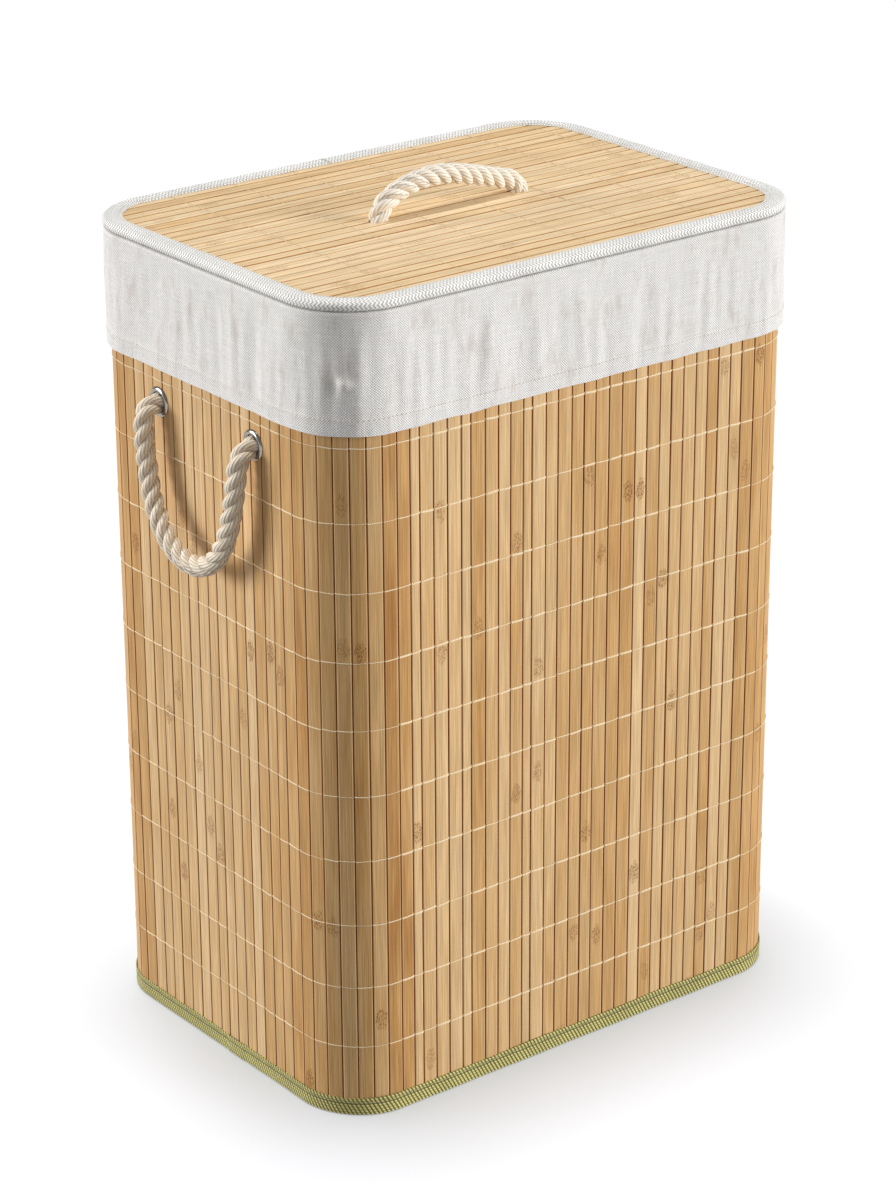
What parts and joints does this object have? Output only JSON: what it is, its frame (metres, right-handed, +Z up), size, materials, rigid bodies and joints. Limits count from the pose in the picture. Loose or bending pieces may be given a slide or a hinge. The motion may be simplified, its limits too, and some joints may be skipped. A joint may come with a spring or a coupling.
{
  "type": "lidded laundry hamper",
  "caption": "Tall oblong laundry hamper with a bamboo slat wall, fabric liner with a turned-out cuff, rope side handles and a bamboo slat lid on a cloth hinge.",
  "frame": {"origin": "on the floor, under the middle of the body", "axes": "+Z up, X along the long side, -Y the front, +Y the hinge side"},
  "size_m": [0.471, 0.3087, 0.6303],
  "materials": {
    "bamboo_wall": "natural bamboo, satin lacquer",
    "bamboo_lid": "light natural bamboo, satin lacquer",
    "backing_cloth": "plain woven cotton backing",
    "sewing_thread": "cream cotton thread",
    "olive_webbing": "olive diagonal woven tape",
    "spring_steel": "plain drawn wire",
    "hardboard": "pressed board",
    "lining_cloth": "non-woven lining",
    "liner_linen": "off-white linen weave",
    "nickel": "polished nickel plate",
    "jute_rope": "three-strand beige rope",
    "cotton_rope": "three-strand cream rope",
    "ivory_twill": "ivory herringbone twill tape",
    "hook_loop_tape": "white hook and loop tape"
  },
  "bodies": {
    "root": {"base_board": "hardboard", "base_cloth": "lining_cloth", "corner_cloth_back_left": "backing_cloth", "corner_cloth_back_right": "backing_cloth", "corner_cloth_front_left": "backing_cloth", "corner_cloth_front_right": "backing_cloth", "corner_slats_back_left": "bamboo_wall", "corner_slats_back_right": "bamboo_wall", "corner_slats_front_left": "bamboo_wall", "corner_slats_front_right": "bamboo_wall", "eyelet_back_left": "nickel", "eyelet_back_right": "nickel", "eyelet_front_left": "nickel", "eyelet_front_right": "nickel", "eyelet_washer_back_left": "nickel", "eyelet_washer_back_right": "nickel", "eyelet_washer_front_left": "nickel", "eyelet_washer_front_right": "nickel", "foot_binding_tape": "olive_webbing", "foot_wire": "spring_steel", "hinge_cloth_lower": "ivory_twill", "hinge_hook_tape": "hook_loop_tape", "hinge_loop_tape": "hook_loop_tape", "liner_bottom": "liner_linen", "liner_cuff": "liner_linen", "liner_wall": "liner_linen", "rim_binding_tape": "backing_cloth", "rim_wire": "spring_steel", "rope_ends_left": "jute_rope", "rope_ends_right": "jute_rope", "rope_knot_back_left": "jute_rope", "rope_knot_back_right": "jute_rope", "rope_knot_front_left": "jute_rope", "rope_knot_front_right": "jute_rope", "wall_cloth_back": "backing_cloth", "wall_cloth_front": "backing_cloth", "wall_cloth_left": "backing_cloth", "wall_cloth_right": "backing_cloth", "wall_slats_back": "bamboo_wall", "wall_slats_front": "bamboo_wall", "wall_slats_left": "bamboo_wall", "wall_slats_right": "bamboo_wall", "wall_threads": "sewing_thread"},
    "lid": {"lid_slats": "bamboo_lid", "lid_board": "hardboard", "lid_lining": "lining_cloth", "lid_binding": "ivory_twill", "lid_wire": "spring_steel", "lid_threads": "sewing_thread", "lid_knot_left": "cotton_rope", "lid_knot_right": "cotton_rope", "lid_rope_ends": "cotton_rope", "hinge_cloth_upper": "ivory_twill"},
    "left_handle": {"rope_loop_left": "jute_rope"},
    "right_handle": {"rope_loop_right": "jute_rope"},
    "lid_handle": {"lid_rope_arch": "cotton_rope"}
  },
  "joints": [
    {"name": "lid_hinge", "type": "hinge", "parent": "root", "child": "lid", "pos_m": [0, 0.16, 0.5936], "axis": [-1, 0, 0], "range_deg": [0, 250]},
    {"name": "left_handle_swing", "type": "hinge", "parent": "root", "child": "left_handle", "pos_m": [-0.2215, 0, 0.484], "axis": [0, 1, 0], "range_deg": [0, 160]},
    {"name": "right_handle_swing", "type": "hinge", "parent": "root", "child": "right_handle", "pos_m": [0.2215, 0, 0.484], "axis": [0, -1, 0], "range_deg": [0, 160]},
    {"name": "lid_handle_lean", "type": "hinge", "parent": "lid", "child": "lid_handle", "pos_m": [0.0025, -0.001, 0.6055], "axis": [1, 0, 0], "range_deg": [-35, 35], "stiffness_Nm_per_rad": 0.02}
  ]
}
